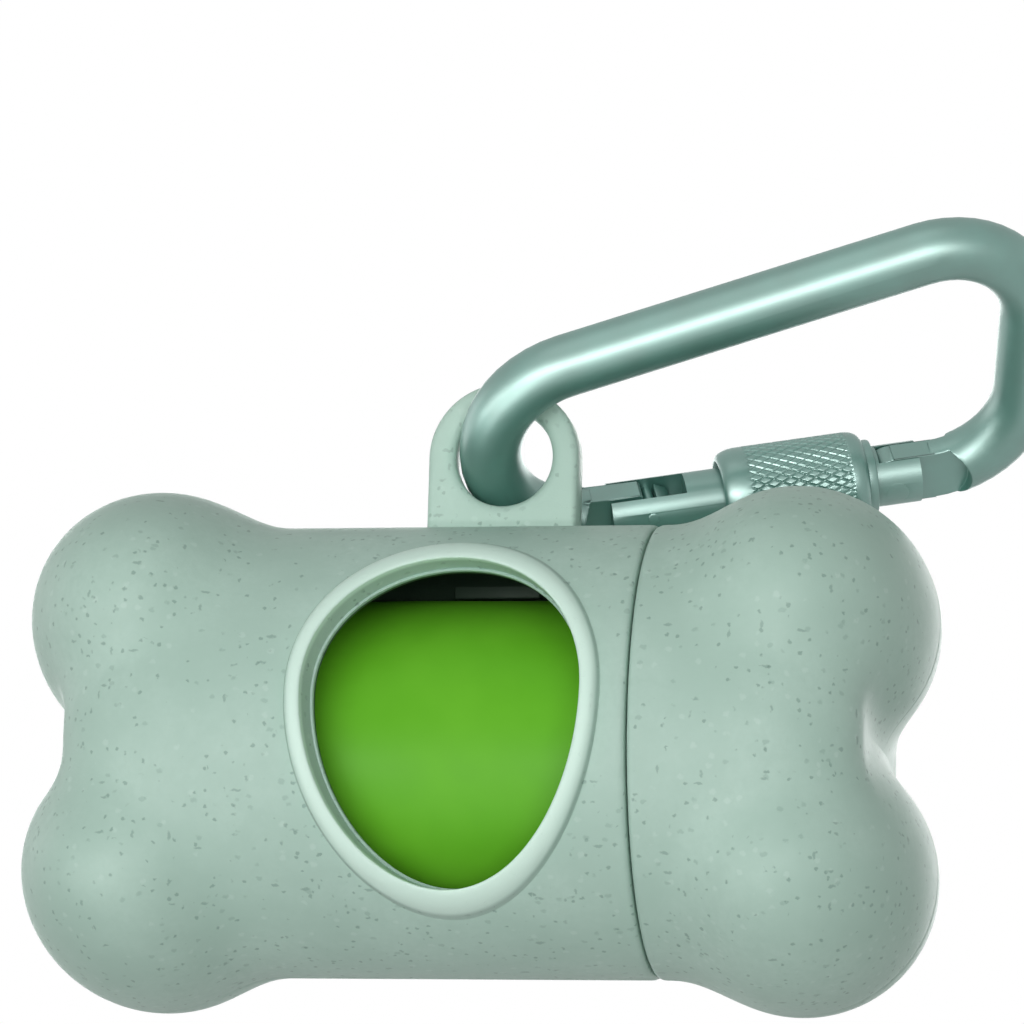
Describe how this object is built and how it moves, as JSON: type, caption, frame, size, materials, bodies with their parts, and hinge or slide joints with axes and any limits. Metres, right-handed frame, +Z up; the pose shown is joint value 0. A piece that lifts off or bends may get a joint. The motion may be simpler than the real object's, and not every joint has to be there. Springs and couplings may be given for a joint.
{
  "type": "dog waste bag dispenser",
  "caption": "Bone-shaped plastic dispenser for a roll of dog waste bags, with an oval window, a screw-off cap and a screw-lock carabiner in its lug.",
  "frame": {"origin": "hang point, on the inner side of the straight stretch of the carabiner's wide bow, where a ring or strap carries the dispenser", "axes": "+X along the bone towards its screw cap, +Y to the back, away from the window, +Z up"},
  "size_m": [0.093, 0.0421, 0.0717],
  "materials": {
    "speckled_plastic": "fine satin, speckled with short dark fibres",
    "inner_plastic": "plain satin",
    "bag_film": "thin glossy film, wound in layers",
    "core_card": "plain wound card",
    "green_anodised": "satin anodised, grey-green",
    "pin_steel": "plain drawn steel"
  },
  "bodies": {
    "carabiner": {"carabiner_frame": "green_anodised", "gate_hinge_pin": "pin_steel"},
    "dispenser": {"body_front_shell": "speckled_plastic", "body_back_shell": "speckled_plastic", "neck_ring": "inner_plastic"},
    "cap_travel_ring": {"cap_liner": "inner_plastic"},
    "cap": {"cap_front_shell": "speckled_plastic", "cap_back_shell": "speckled_plastic", "cap_thread_ring": "inner_plastic"},
    "roll": {"roll_core": "core_card", "bag_roll": "bag_film"},
    "gate": {"gate_tube": "green_anodised", "gate_latch_pin": "pin_steel", "gate_plunger": "pin_steel", "gate_spring": "pin_steel"},
    "sleeve": {"lock_sleeve": "green_anodised"}
  },
  "joints": [
    {"name": "body_swing", "type": "hinge", "parent": "carabiner", "child": "dispenser", "pos_m": [-0.04402, -0.00781, -0.01115], "axis": [0, 1, 0], "range_deg": [0, 145]},
    {"name": "cap_travel", "type": "slide", "parent": "dispenser", "child": "cap_travel_ring", "axis": [1, 0, 0], "range_m": [0, 0.00601]},
    {"name": "cap_turn", "type": "hinge", "parent": "cap_travel_ring", "child": "cap", "pos_m": [-0.02552, -0.00781, -0.0381], "axis": [1, 0, 0], "range_deg": [0, 540]},
    {"name": "roll_spin", "type": "hinge", "parent": "dispenser", "child": "roll", "pos_m": [-0.04752, -0.00781, -0.0394], "axis": [1, 0, 0], "continuous": true},
    {"name": "gate_pivot", "type": "hinge", "parent": "carabiner", "child": "gate", "pos_m": [-0.0105, 0.00772, -0.00969], "axis": [-0.2899, 0.5703, 0.7685], "range_deg": [0, 25], "stiffness_Nm_per_rad": 0.05, "springref_deg": -22.92},
    {"name": "sleeve_travel", "type": "slide", "parent": "gate", "child": "sleeve", "axis": [-0.9534, -0.2419, -0.1802], "range_m": [0, 0.0105]}
  ],
  "couplings": [
    {"joint": "cap_travel", "follows": "cap_turn", "m_per_rad": 0.00063662}
  ]
}
